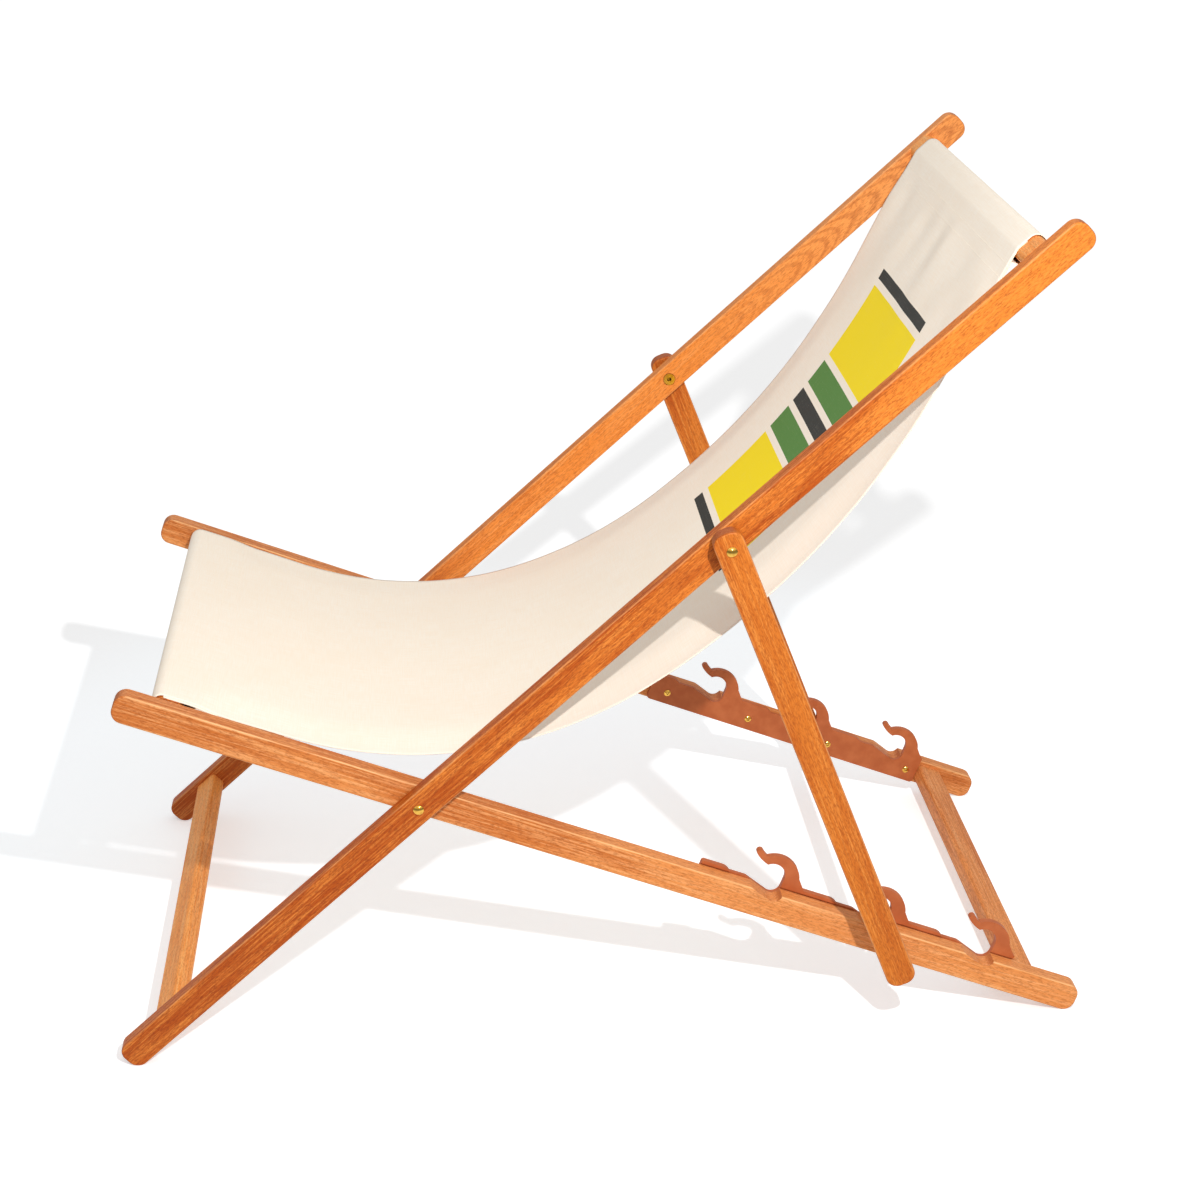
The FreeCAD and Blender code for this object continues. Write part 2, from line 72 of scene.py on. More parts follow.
# Bars and rails of the frames
RAIL_WIDTH = 0.030
BAR_WIDTH = 0.030
BAR_THICK = 0.020
BAR_ROUND = 0.008

# Canvas: its hang, its cloth and its hems
FLAT_RUN = 0.115
TOP_RUN = 0.125
MID_SLOPE = math.radians(33.0)
TOP_LEAN = math.radians(20.0)
SKIN = 0.0014                # from a bar's face to the middle of the hem's outer layer
CLOTH_THICK = 0.0008
LAYER = 0.0009               # between the middles of two layers that lie together
SEAM_NEAR = 0.012            # from the bar to the seam that closes the hem
HEM_FLAP = 0.022             # from the seam to the fold under the sheet
CLOTH_STEP = 0.004
TURN_STEP = math.radians(9.0)
STITCH_PITCH = 0.0042
STITCH_LENGTH = 0.0033
STITCH_RADIUS = 0.00028
STITCH_ROWS = (0.004, 0.018)     # from the seam, along the flap
STITCH_MARGIN = 0.003        # from the ends of a row to the cloth's sides
STITCH_SIDES = 6
STITCH_SECTIONS = ((-0.5, 0.35), (-0.36, 0.85), (0.0, 1.0), (0.36, 0.85), (0.5, 0.35))    # place and width
EDGE_STRIP = 0.060           # width along each side that hangs lower
SEAT_DROOP = (0.0024, 0.0044)    # on the right and on the left
BACK_DROOP = 0.0068
SEAT_DROOP_START = (0.02, 0.06)  # along the sheet, from none to full
BACK_DROOP_START = (0.40, 0.54)
TOP_DROOP_END = (0.05, 0.36)     # from the top bar
PUCKER_DEPTH = 0.0100
PUCKER_SPACING = 0.050
PUCKER_FADE = 0.060
PUCKER_START = (0.012, 0.060)    # from the top bar, from none to full
PUCKER_SLANT = 0.25
PUCKER_WANDER = 7.0              # changes of a pucker for each metre along it
HEM_SHIFT = 0.0034           # how far the front hem's turned-in cloth lies to the left of the sheet
HEM_SHIFT_RUN = 0.030
DRAPE_DEPTH = 0.0014
DRAPE_SPACING = 0.16
DRAPE_ENDS = (0.03, 0.16)        # from both bars, from none to full
SELVEDGE_WAVE = 0.0007
SELVEDGE_RATE = 22.0             # waves for each metre, about
SELVEDGE_POWER = 12              # keeps the wave to the cloth's sides
PUCKER_SEED = 1.7
DRAPE_SEED = 9.1
SELVEDGE_SEED = 0.3

# Printed panel on the backrest, measured from the top bar along the cloth
PANEL_TOP = 0.115
PANEL_HALF_WIDTH = 0.112

# Camera
CAMERA_PLACE = Vector((2.33803, -0.15565, 1.32076))
CAMERA_YAW = math.radians(4.179)
CAMERA_PITCH = math.radians(21.917)
CAMERA_ROLL = math.radians(-0.521)
CAMERA_LENS = 70.30
CAMERA_SENSOR = 36.0

# Light
KEY_PLACE = Vector((1.70, 0.25, 1.57))
KEY_AIM = Vector((0.0, 0.0, 0.40))
KEY_SIZE = 0.04
KEY_POWER = 29.0
SKY_STRENGTH = 0.60
FLOOR_RADIUS = 9.0
FLOOR_NEAR = (0.91, 0.95, 0.98, 1.0)     # a little cool, so that the shadow stays grey beside warm wood
FLOOR_FAR = (0.95, 0.95, 0.95, 1.0)
FLOOR_GLOW = (0.37, 0.29, 0.42)          # below the chair, round it and far away
FLOOR_IN_GLOSS = (0.45, 0.45, 0.45, 1.0)
GLOW_IN_GLOSS = 0.63
FLOOR_UNSEEN = (0.8, 0.8, 0.8, 1.0)      # for the light that the floor throws back
SHADOW_EDGE = (0.8, 1.2)                 # from the middle of the floor
FLOOR_EDGE = (2.0, 6.0)
GLOSS_EDGE = (0.7, 1.7)
SKY_IN_GLOSS = (0.25, 1.0)               # at the horizon, and from a height up
SKY_GLOSS_HEIGHT = 0.6
WHITE = (1.0, 1.0, 1.0, 1.0)

JOINTS = {joint["name"]: joint for joint in frame["joints"]}
MAIN_PIVOT = Vector(JOINTS["back_lift"]["pos_m"])
PROP_PIVOT = Vector(JOINTS["prop_swing"]["pos_m"])


def middle(node):
    """The middle of a node's box."""
    low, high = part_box(node)
    return (low + high) / 2


def slope(start, end):
    """The angle of a line in the plane of Y and Z."""
    return math.atan2(end.z - start.z, end.y - start.y)


SEAT_ANGLE = slope(MAIN_PIVOT, middle("seat_rear_bar"))
BACK_ANGLE = slope(MAIN_PIVOT, PROP_PIVOT)
PROP_ANGLE = slope(PROP_PIVOT, middle("prop_dowel"))
SLING_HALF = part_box("sling")[1].x


def paint(red, green, blue):
    """A colour given in display values from 0 to 255."""
    linear = []
    for value in (red / 255, green / 255, blue / 255):
        linear.append(value / 12.92 if value <= 0.04045 else ((value + 0.055) / 1.055) ** 2.4)
    return (*linear, 1.0)


def smooth(low, high, value):
    """A value's place between low and high, eased from 0 to 1."""
    t = min(max((value - low) / (high - low), 0.0), 1.0)
    return t * t * (3 - 2 * t)


# Tones of the stained wood: pores, deep tone, body and light lines
WOOD_TONES = {
    "russet": (paint(136, 52, 8), paint(180, 80, 14), paint(230, 132, 46), paint(238, 146, 62)),
    "copper": (paint(158, 74, 26), paint(180, 80, 16), paint(232, 136, 54), paint(246, 162, 88)),
    "amber": (paint(146, 62, 12), paint(188, 92, 22), paint(208, 114, 34), paint(232, 146, 64)),
    "honey": (paint(194, 106, 42), paint(238, 142, 60), paint(255, 166, 80), paint(255, 194, 120)),
    "rose": (paint(160, 78, 28), paint(202, 112, 48), paint(229, 144, 76), paint(250, 181, 118)),
}
BOARDS = {
    "seat_rail_left": "rose",
    "seat_rail_right": "rose",
    "seat_front_bar": "amber",
    "seat_rear_bar": "rose",
    "back_rail_left": "russet",
    "back_rail_right": "copper",
    # the top bar takes the light honey tone as painted light: its ends lie in the rails' shadow and are
    # lightened to read as lit
    "back_top_bar": "honey",
    "back_foot_bar": "honey",
    "prop_strut_left": "amber",
    "prop_strut_right": "amber",
    "prop_dowel": "amber",
}
FRAMES = {
    "seat": (MAIN_PIVOT, SEAT_ANGLE),
    "back": (MAIN_PIVOT, BACK_ANGLE),
    "prop": (PROP_PIVOT, PROP_ANGLE),
}
EDGE_HIGHLIGHT_AND_WEAR = {"seat": 0.75, "back": 0.30, "prop": 0.30}     # how strongly the rounded edges are painted light: mostly a painted highlight, with some stain worn off
HIGHLIT_WORN_WOOD = paint(248, 196, 136)
TONE_GRAIN = (0.28, 0.026)                # length and width of the grain's marks
LINE_GRAIN = (0.075, 0.0019)
FLECK_GRAIN = (0.0055, 0.0011)
TONE_RANGE = (0.34, 0.64)
LIGHTEN_SHIFT = (-0.12, 0.20)             # of the tone, before and after the change
LIGHTENS = {                              # where along it a board turns lighter
    "back_rail_left": (0.50, 0.74),
    # the far back rail is darker at its lower end: partly deeper wood, partly painted shade where the canvas
    # shades it
    "back_rail_right": (-0.10, 0.18),
    "seat_rail_left": (0.05, 0.40),
}
FIGURED = ("back_rail_right",)            # a board with arched rings near its upper end
RING_PITCH = 0.026
RING_ARCH = 1.5                           # how many rings the arch spans across half the board
RING_DRIFT = 2.6
RING_START = (0.40, 0.64)
PALE_START = (0.40, 0.70)
WEAVE_PITCH = 0.0011


class Shade:
    """The nodes of a material or of the world, with short calls for the kinds used here."""

    def __init__(self, owner):
        owner.use_nodes = True
        self.owner = owner
        self.tree = owner.node_tree

    def add(self, kind, inputs=None, **settings):
        made = self.tree.nodes.new("ShaderNode" + kind)
        for name, value in settings.items():
            setattr(made, name, value)
        for key, value in (inputs or {}).items():
            self.put(made.inputs[key], value)
        return made

    def put(self, socket, value):
        if isinstance(value, bpy.types.NodeSocket):
            self.tree.links.new(value, socket)
        else:
            socket.default_value = value

    def sum(self, operation, first, second=0.0, third=0.0):
        made = self.add("Math", {0: first, 1: second, 2: third}, operation=operation)
        return made.outputs[0]

    def step(self, value, low, high, most=1.0):
        return self.rank(value, low, high, 0.0, most)

    def place(self, vector, scale=(1, 1, 1), location=(0, 0, 0), rotation=(0, 0, 0), kind="POINT"):
        inputs = {"Vector": vector, "Scale": scale, "Location": location, "Rotation": rotation}
        return self.add("Mapping", inputs, vector_type=kind).outputs[0]

    def grain(self, vector, detail=2.0, roughness=0.5):
        inputs = {"Vector": vector, "Scale": 1.0, "Detail": detail, "Roughness": roughness}
        return self.add("TexNoise", inputs).outputs["Fac"]

    def mix(self, share, first, second):
        return self.add("Mix", {0: share, 6: first, 7: second}, data_type="RGBA").outputs[2]

    def rank(self, value, low, high, start, end):
        """A value's place between low and high, turned into a number from start to end."""
        inputs = {"Value": value, "From Min": low, "From Max": high, "To Min": start, "To Max": end}
        return self.add("MapRange", inputs, interpolation_type="SMOOTHSTEP").outputs["Result"]

    def split(self, vector):
        return self.add("SeparateXYZ", {0: vector}).outputs

    def bump(self, height, strength, distance, below=None):
        inputs = {"Height": height, "Strength": strength, "Distance": distance}
        if below is not None:
            inputs["Normal"] = below
        return self.add("Bump", inputs).outputs[0]

    def finish(self, **inputs):
        shader = self.tree.nodes["Principled BSDF"]
        for name, value in inputs.items():
            self.put(shader.inputs[name.replace("_", " ")], value)
        return self.owner


def material(name):
    return Shade(bpy.data.materials.new(name))


def wood(node, seed):
    """Stained hardwood. The grain runs along the rails, or across the chair for its bars."""
    pore, deep, body, light = WOOD_TONES[BOARDS[node]]
    frame_name = node.split("_")[0]
    pivot, angle = FRAMES[frame_name]
    across = "rail" not in node and "strut" not in node
    shade = material("wood_" + node)
    coordinates = shade.add("TexCoord").outputs
    local = shade.place(coordinates["Object"], location=pivot, rotation=(angle, 0, 0), kind="TEXTURE")
    parts = shade.split(local)

    def stretched(length, width):
        scale = [1 / width] * 3
        scale[0 if across else 1] = 1 / length
        return shade.place(local, scale=scale, location=(seed, seed * 2.3, seed * 0.7))

    tone = shade.grain(stretched(*TONE_GRAIN), 3.0, 0.6)
    if node in LIGHTENS:
        tone = shade.sum("ADD", tone, shade.rank(parts[1], *LIGHTENS[node], *LIGHTEN_SHIFT))
    line = shade.grain(stretched(*LINE_GRAIN), 3.0, 0.6)
    fleck = shade.grain(stretched(*FLECK_GRAIN), 3.0, 0.7)
    colour = shade.mix(shade.step(tone, *TONE_RANGE), deep, body)
    colour = shade.mix(shade.step(line, 0.42, 0.68, 0.65), colour, light)
    if node in FIGURED:
        colour = shade.mix(shade.step(parts[1], *PALE_START, 0.6), colour, light)
        broad = shade.step(shade.sum("ABSOLUTE", shade.split(coordinates["Normal"])[0]), 0.5, 0.9)
        colour = shade.mix(shade.sum("MULTIPLY", broad, rings(shade, parts, line)), colour, pore)
    fleck_share = shade.rank(tone, 0.34, 0.70, 0.70, 0.55)
    flecks = shade.sum("MULTIPLY", shade.step(fleck, 0.42, 0.68), fleck_share)
    colour = shade.mix(flecks, colour, pore)
    # End grain takes the stain darker; the darkening is also made stronger as painted shade on the rounded
    # ends.
    axis = (1.0, 0.0, 0.0) if across else (0.0, math.cos(angle), math.sin(angle))
    facing = shade.add("VectorMath", {0: coordinates["Normal"], 1: axis}, operation="DOT_PRODUCT")
    end_grain_and_shade = shade.step(shade.sum("ABSOLUTE", facing.outputs["Value"]), 0.45, 0.90, 0.55)
    colour = shade.mix(end_grain_and_shade, colour, pore)
    # Painted highlight along the rails' rounded long edges, which also stands for some stain worn off there.
    if not across:
        side = shade.sum("ABSOLUTE", shade.sum("DIVIDE", parts[2], RAIL_WIDTH / 2))
        sheet = shade.sum("MULTIPLY_ADD", shade.split(coordinates["Generated"])[0], 2.0, -1.0)
        edge = shade.sum("MULTIPLY", shade.step(side, 0.88, 0.97),
                         shade.step(shade.sum("ABSOLUTE", sheet), 0.80, 0.94))
        highlit_worn_edge = shade.sum("MULTIPLY", edge, shade.step(line, 0.25, 0.55, EDGE_HIGHLIGHT_AND_WEAR[frame_name]))
        colour = shade.mix(highlit_worn_edge, colour, HIGHLIT_WORN_WOOD)
    rough = shade.rank(line, 0.0, 1.0, 0.52, 0.40)
    normal = shade.bump(fleck, 0.15, 0.0003)
    normal = shade.bump(line, 0.12, 0.0004, normal)
    return shade.finish(Base_Color=colour, Roughness=rough, Normal=normal, Specular_IOR_Level=0.22)


def rings(shade, parts, line):
    """The arched rings of a board cut through its growth, towards its upper end."""
    drift = shade.grain(shade.add("CombineXYZ", {1: shade.sum("MULTIPLY", parts[1], 14.0)}).outputs[0])
    squared = shade.sum("MULTIPLY", parts[2], parts[2])
    arch = shade.sum("MULTIPLY", squared, RING_ARCH / (RAIL_WIDTH / 2) ** 2)
    bend = shade.sum("MULTIPLY_ADD", drift, RING_DRIFT, shade.sum("MULTIPLY_ADD", line, 0.5, arch))
    count = shade.sum("MULTIPLY_ADD", parts[1], 1 / RING_PITCH, bend)
    wave = shade.sum("SINE", shade.sum("MULTIPLY", count, 2 * math.pi))
    return shade.sum("MULTIPLY", shade.step(wave, -0.2, 1.0, 0.36), shade.step(parts[1], *RING_START))


def woven(shade, flat):
    """Cloth threads: a fine plain weave with slubs along and across it."""
    parts = shade.split(flat)
    turns = 2 * math.pi / WEAVE_PITCH
    warp = shade.sum("SINE", shade.sum("MULTIPLY", parts[0], turns))
    weft = shade.sum("SINE", shade.sum("MULTIPLY", parts[1], turns))
    weave = shade.sum("MULTIPLY", warp, weft)
    lengthwise = shade.grain(shade.place(flat, scale=(900, 40, 1)), 2.0)
    crosswise = shade.grain(shade.place(flat, scale=(40, 900, 1), location=(3, 7, 0)), 2.0)
    slub = shade.sum("ADD", lengthwise, crosswise)
    return weave, slub


def canvas(name, printed):
    """Unbleached cotton canvas, with a printed panel of bands on its upper side."""
    shade = material(name)
    flat = shade.add("UVMap", uv_map="Cloth").outputs[0]
    weave, slub = woven(shade, flat)
    cloud = shade.grain(shade.place(flat, scale=(9, 9, 1)), 3.0)
    plain = shade.mix(shade.step(slub, 0.75, 1.25), paint(253, 239, 220), paint(255, 245, 230))
    plain = shade.mix(shade.step(cloud, 0.35, 0.7, 0.3), plain, paint(251, 235, 214))
    colour = plain
    if printed:
        colour = print_panel(shade, flat, plain, slub)
    normal = shade.bump(slub, 0.05, 0.0005)
    normal = shade.bump(weave, 0.10, 0.0002, normal)
    return shade.finish(Base_Color=colour, Roughness=0.88, Normal=normal, Specular_IOR_Level=0.15,
                        Sheen_Weight=0.05, Sheen_Roughness=0.5)


def print_panel(shade, flat, plain, slub):
    """Cross bands in yellow, green and charcoal, printed a little thin on the cloth's threads."""
    parts = shade.split(flat)
    across = shade.sum("ABSOLUTE", parts[0])
    down = shade.sum("SUBTRACT", SHEET_LENGTH - PANEL_TOP, parts[1])
    ink = shade.sum("MULTIPLY_ADD", shade.step(slub, 0.62, 0.92), 0.05, 0.95)
    colour = plain
    for start, width, tint in BANDS:
        inside = shade.sum("MULTIPLY", shade.sum("GREATER_THAN", down, start),
                           shade.sum("LESS_THAN", down, start + width))
        inside = shade.sum("MULTIPLY", inside, shade.sum("LESS_THAN", across, PANEL_HALF_WIDTH))
        colour = shade.mix(shade.sum("MULTIPLY", inside, ink), colour, tint)
    return colour


def plastic(name, colour, light):
    """Moulded plastic with a fine matte texture."""
    shade = material(name)
    place = shade.add("TexCoord").outputs["Object"]
    cloud = shade.grain(shade.place(place, scale=(60, 60, 60)), 3.0)
    spark = shade.grain(shade.place(place, scale=(1800, 1800, 1800)), 1.0)
    tint = shade.mix(shade.step(cloud, 0.3, 0.75), colour, light)
    rough = shade.rank(cloud, 0.0, 1.0, 0.42, 0.58)
    normal = shade.bump(spark, 0.10, 0.0002)
    return shade.finish(Base_Color=tint, Roughness=rough, Normal=normal, Specular_IOR_Level=0.28)


def brass(name):
    """Polished brass with fine turning marks and a trace of tarnish, and painted shade darkening its hollows
    and sockets.
    """
    shade = material(name)
    place = shade.add("TexCoord").outputs["Object"]
    cloud = shade.grain(shade.place(place, scale=(240, 240, 240)), 3.0)
    marks = shade.grain(shade.place(place, scale=(400, 4000, 4000)), 1.0)
    tint = shade.mix(shade.step(cloud, 0.4, 0.75), paint(242, 194, 92), paint(212, 156, 62))
    # Painted shade: ambient occlusion darkens sockets, recesses and the rims where heads meet the wood.
    painted_shade_ao = shade.add("AmbientOcclusion", {"Distance": 0.004}, samples=8).outputs["AO"]
    tint = shade.mix(shade.step(painted_shade_ao, 0.25, 0.65), paint(50, 38, 16), tint)
    rough = shade.rank(cloud, 0.0, 1.0, 0.08, 0.20)
    normal = shade.bump(marks, 0.03, 0.0001)
    return shade.finish(Base_Color=tint, Roughness=rough, Normal=normal, Metallic=1.0)


def thread(name):
    """Pale twisted sewing thread."""
    shade = material(name)
    place = shade.add("TexCoord").outputs["Object"]
    twist = shade.grain(shade.place(place, scale=(2600, 900, 900)), 1.0)
    tint = shade.mix(twist, paint(246, 232, 212), paint(255, 246, 232))
    return shade.finish(Base_Color=tint, Roughness=0.7, Normal=shade.bump(twist, 0.2, 0.0002))


def turn(angle):
    """One step along a heading."""
    return cmath.rect(1.0, angle)


def left_of(angle):
    """One step to the left of a heading, which is the sheet's upper side."""
    return cmath.rect(1.0, angle + math.pi / 2)


def cross(first, second):
    return first.real * second.imag - first.imag * second.real


def straight(start, end):
    """Points and headings along a line, the end left out."""
    count = max(1, round(abs(end - start) / CLOTH_STEP))
    angle = cmath.phase(end - start)
    return [(start + (end - start) * i / count, angle) for i in range(count)]


def rounded(centre, radius, first, last):
    """Points and headings round an arc. A positive radius turns right, with the centre on the right."""
    count = max(2, round(max(abs(last - first) / TURN_STEP, abs((last - first) * radius) / CLOTH_STEP)))
    if abs(radius) > 10 * CLOTH_STEP:
        count = round(abs((last - first) * radius) / CLOTH_STEP)
    angles = [first + (last - first) * i / count for i in range(count)]
    return [(centre + radius * left_of(angle), angle) for angle in angles]


def bar_corners(node, angle):
    """Centres of a bar's four rounded corners, as (rear or upper, front or lower) by (top, under)."""
    centre = middle(node)
    reach = BAR_WIDTH / 2 - BAR_ROUND
    rise = BAR_THICK / 2 - BAR_ROUND
    base = complex(centre.y, centre.z)
    return {(s, n): base + complex(s * reach, n * rise) * turn(angle) for s in (1, -1) for n in (1, -1)}


WRAP = BAR_ROUND + SKIN


def sheet_section():
    """The hanging sheet: a straight run, the seat's round sag, the flatter back and a last straight run."""
    front = middle("seat_front_bar")
    end_angle = BACK_ANGLE + TOP_LEAN
    start = complex(front.y, front.z) + left_of(SEAT_ANGLE) * (BAR_THICK / 2 + SKIN)
    end = bar_corners("back_top_bar", BACK_ANGLE)[-1, 1] + WRAP * left_of(end_angle)
    sag_start = start + turn(SEAT_ANGLE) * FLAT_RUN
    back_end = end - turn(end_angle) * TOP_RUN
    span = back_end - sag_start
    sag = left_of(SEAT_ANGLE) - left_of(MID_SLOPE)
    rise = left_of(MID_SLOPE) - left_of(end_angle)
    sag_radius = cross(span, rise) / cross(sag, rise)
    back_radius = cross(sag, span) / cross(sag, rise)
    section = straight(start, sag_start)
    section += rounded(sag_start + left_of(SEAT_ANGLE) * sag_radius, -sag_radius, SEAT_ANGLE, MID_SLOPE)
    section += rounded(back_end + left_of(end_angle) * back_radius, -back_radius, MID_SLOPE, end_angle)
    section += straight(back_end, end)
    return section + [(end, end_angle)]


def front_hem(sheet_start):
    """From the turned-in end on the bar's top, under the sheet to the fold and back to the seam, then down
    round the bar and up on to its top."""
    corners = bar_corners("seat_front_bar", SEAT_ANGLE)
    ahead = turn(SEAT_ANGLE)
    layer = left_of(SEAT_ANGLE) * LAYER
    under = SEAT_ANGLE - math.pi
    inside = sheet_start - ahead * (BAR_WIDTH / 2 - BAR_ROUND) - layer
    seam = sheet_start + ahead * (BAR_WIDTH / 2 + SEAM_NEAR) - 2 * layer
    fold = seam + ahead * HEM_FLAP
    reach = corners[1, -1] - seam
    down = cmath.phase(reach) + math.asin(WRAP / abs(reach))
    down = under + (down - under) % (2 * math.pi)
    flap = straight(inside, fold + layer)
    flap += rounded(fold + layer / 2, LAYER / 2, SEAT_ANGLE, under)
    flap += straight(fold, seam)
    back = straight(seam, corners[1, -1] + WRAP * left_of(down))
    loop = rounded(corners[1, -1], WRAP, down, under)
    loop += straight(corners[1, -1] + WRAP * left_of(under), corners[-1, -1] + WRAP * left_of(under))
    front = under - math.pi / 2
    loop += rounded(corners[-1, -1], WRAP, under, front)
    loop += straight(corners[-1, -1] + WRAP * left_of(front), corners[-1, 1] + WRAP * left_of(front))
    loop += rounded(corners[-1, 1], WRAP, front, front - math.pi / 2)
    loop += straight(corners[-1, 1] + WRAP * left_of(SEAT_ANGLE), sheet_start)
    return flap, back, loop


def top_hem(sheet_end):
    """From the sheet's end over the top bar and down behind it, up to the seam and under the sheet to the
    fold, then back up between the layers to the turned-in end on the bar."""
    corners = bar_corners("back_top_bar", BACK_ANGLE)
    arrive = BACK_ANGLE + TOP_LEAN
    layer = left_of(arrive) * LAYER
    seam = sheet_end - turn(arrive) * SEAM_NEAR - 2 * layer
    fold = seam - turn(arrive) * HEM_FLAP
    over = BACK_ANGLE
    behind = BACK_ANGLE - math.pi / 2
    under = BACK_ANGLE - math.pi
    reach = seam - corners[-1, -1]
    up = cmath.phase(reach) - math.asin(WRAP / abs(reach))
    up = under - (under - up) % (2 * math.pi)
    loop = rounded(corners[-1, 1], WRAP, arrive, over)
    loop += straight(corners[-1, 1] + WRAP * left_of(over), corners[1, 1] + WRAP * left_of(over))
    loop += rounded(corners[1, 1], WRAP, over, behind)
    loop += straight(corners[1, 1] + WRAP * left_of(behind), corners[1, -1] + WRAP * left_of(behind))
    loop += rounded(corners[1, -1], WRAP, behind, under)
    loop += straight(corners[1, -1] + WRAP * left_of(under), corners[-1, -1] + WRAP * left_of(under))
    loop += rounded(corners[-1, -1], WRAP, under, up)
    back = straight(corners[-1, -1] + WRAP * left_of(up), seam)
    flap = straight(seam, fold)
    flap += rounded(fold + layer / 2, LAYER / 2, arrive + math.pi, arrive)
    flap += straight(fold + layer, sheet_end - layer)
    inside = rounded(corners[-1, 1], WRAP - LAYER, arrive, over)
    inside += straight(corners[-1, 1] + (WRAP - LAYER) * left_of(over),
                       corners[1, 1] + (WRAP - LAYER) * left_of(over))
    return loop, back, flap, inside


def relief(x, t):
    """How far the cloth stands off its plain curve at t along the sheet: puckers below the top hem, a soft
    drape, and side edges that hang lower."""
    from_top = SHEET_LENGTH - t
    bend = x + PUCKER_SLANT * from_top
    pucker = noise.noise((bend / PUCKER_SPACING, from_top * PUCKER_WANDER, PUCKER_SEED))
    pucker *= smooth(*PUCKER_START, from_top) * math.exp(-from_top / PUCKER_FADE)
    inner = smooth(*DRAPE_ENDS, t) * smooth(*DRAPE_ENDS, from_top)
    drape = noise.noise((x / DRAPE_SPACING, t / DRAPE_SPACING / 2, DRAPE_SEED))
    droop = SEAT_DROOP[x > 0] * smooth(*SEAT_DROOP_START, t)
    droop += (BACK_DROOP - droop) * smooth(*BACK_DROOP_START, t)
    droop *= smooth(*TOP_DROOP_END, from_top) * smooth(SLING_HALF - EDGE_STRIP, SLING_HALF, abs(x))
    return PUCKER_DEPTH * pucker + DRAPE_DEPTH * drape * inner - droop


def lengths(section):
    """Distance of each point of a section from its first point."""
    total = [0.0]
    for before, after in zip(section, section[1:]):
        total.append(total[-1] + abs(after[0] - before[0]))
    return total


SHEET = sheet_section()
SHEET_LENGTH = lengths(SHEET)[-1]
CHARCOAL = paint(52, 52, 48)
YELLOW = paint(255, 226, 4)
GREEN = paint(88, 136, 62)
BANDS = [                    # start below the panel's top edge, width and ink
    (0.000, 0.012, CHARCOAL),
    (0.020, 0.090, YELLOW),
    (0.118, 0.030, GREEN),
    (0.156, 0.018, CHARCOAL),
    (0.182, 0.030, GREEN),
    (0.220, 0.090, YELLOW),
    (0.318, 0.012, CHARCOAL),
]


def cloth_rows():
    """Rows of the cloth from end to end: place, heading, lift direction and the point of the sheet that each
    row's relief follows."""
    first = SHEET[0][0]
    flap, back, loop = front_hem(first)
    rows = []
    up = left_of(SEAT_ANGLE)
    for place, angle in flap:
        rows.append((place, angle, up, ((place - first) / turn(SEAT_ANGLE)).real))
    for i, (place, angle) in enumerate(back):
        rows.append((place, angle, up * (1 - i / len(back)), BAR_WIDTH / 2 + SEAM_NEAR))
    rows += [(place, angle, 0j, 0.0) for place, angle in loop]
    for (place, angle), gone in zip(SHEET[:-1], lengths(SHEET)):
        rows.append((place, angle, left_of(angle), gone))
    last = SHEET[-1][0]
    arrive = BACK_ANGLE + TOP_LEAN
    up = left_of(arrive)
    loop, back, flap, inside = top_hem(last)
    rows += [(place, angle, 0j, SHEET_LENGTH) for place, angle in loop]
    for i, (place, angle) in enumerate(back):
        rows.append((place, angle, up * (i / len(back)), SHEET_LENGTH - SEAM_NEAR))
    for place, angle in flap:
        rows.append((place, angle, up, SHEET_LENGTH + ((place - last) / turn(arrive)).real))
    return rows + [(place, angle, 0j, SHEET_LENGTH) for place, angle in inside]


def cloth_mesh():
    """The whole length of canvas as one closed sheet, with its flat coordinates in metres."""
    rows = cloth_rows()
    columns = round(2 * SLING_HALF / CLOTH_STEP) + 1
    walked = lengths([(row[0], 0) for row in rows])
    sheet_at = next(i for i, row in enumerate(rows) if row[0] == SHEET[0][0])
    verts = []
    flat = []
    for (place, angle, lift, t), gone in zip(rows, walked):
        shift = HEM_SHIFT * smooth(0.0, HEM_SHIFT_RUN, walked[sheet_at] - gone)
        for c in range(columns):
            x = SLING_HALF * (2 * c / (columns - 1) - 1)
            middle_point = place + lift * relief(x, t)
            wave = SELVEDGE_WAVE * noise.noise((t * SELVEDGE_RATE, math.copysign(4.0, x), SELVEDGE_SEED))
            side = x + shift + wave * abs(x / SLING_HALF) ** SELVEDGE_POWER
            for half in (CLOTH_THICK / 2, -CLOTH_THICK / 2):
                point = middle_point + left_of(angle) * half
                verts.append((side, point.real, point.imag))
                flat.append((x, gone - walked[sheet_at]))

    def corner(r, c, layer):
        return (r * columns + c) * 2 + layer

    faces = []
    slots = []
    last = columns - 1
    for r in range(len(rows) - 1):
        for c in range(last):
            top = [corner(r, c, 0), corner(r, c + 1, 0), corner(r + 1, c + 1, 0), corner(r + 1, c, 0)]
            faces += [top, [v + 1 for v in reversed(top)]]
            slots += [0, 1]
        for c, out, back in ((0, 1, 0), (last, 0, 1)):
            faces.append([corner(r, c, out), corner(r, c, back),
                          corner(r + 1, c, back), corner(r + 1, c, out)])
        slots += [1, 1]
    end = len(rows) - 1
    for c in range(last):
        for r, out, back in ((0, 1, 0), (end, 0, 1)):
            faces.append([corner(r, c, out), corner(r, c + 1, out),
                          corner(r, c + 1, back), corner(r, c, back)])
        slots += [1, 1]
    mesh = bpy.data.meshes.new("canvas_sling")
    mesh.from_pydata(verts, [], faces)
    layer = mesh.uv_layers.new(name="Cloth")
    for loop in mesh.loops:
        layer.data[loop.index].uv = flat[loop.vertex_index]
    mesh.polygons.foreach_set("material_index", slots)
    mesh.polygons.foreach_set("use_smooth", [True] * len(faces))
    mesh.update()
    return mesh, walked[-1]


def add_object(name, mesh):
    made = bpy.data.objects.new(name, mesh)
    bpy.context.scene.collection.objects.link(made)
    return made


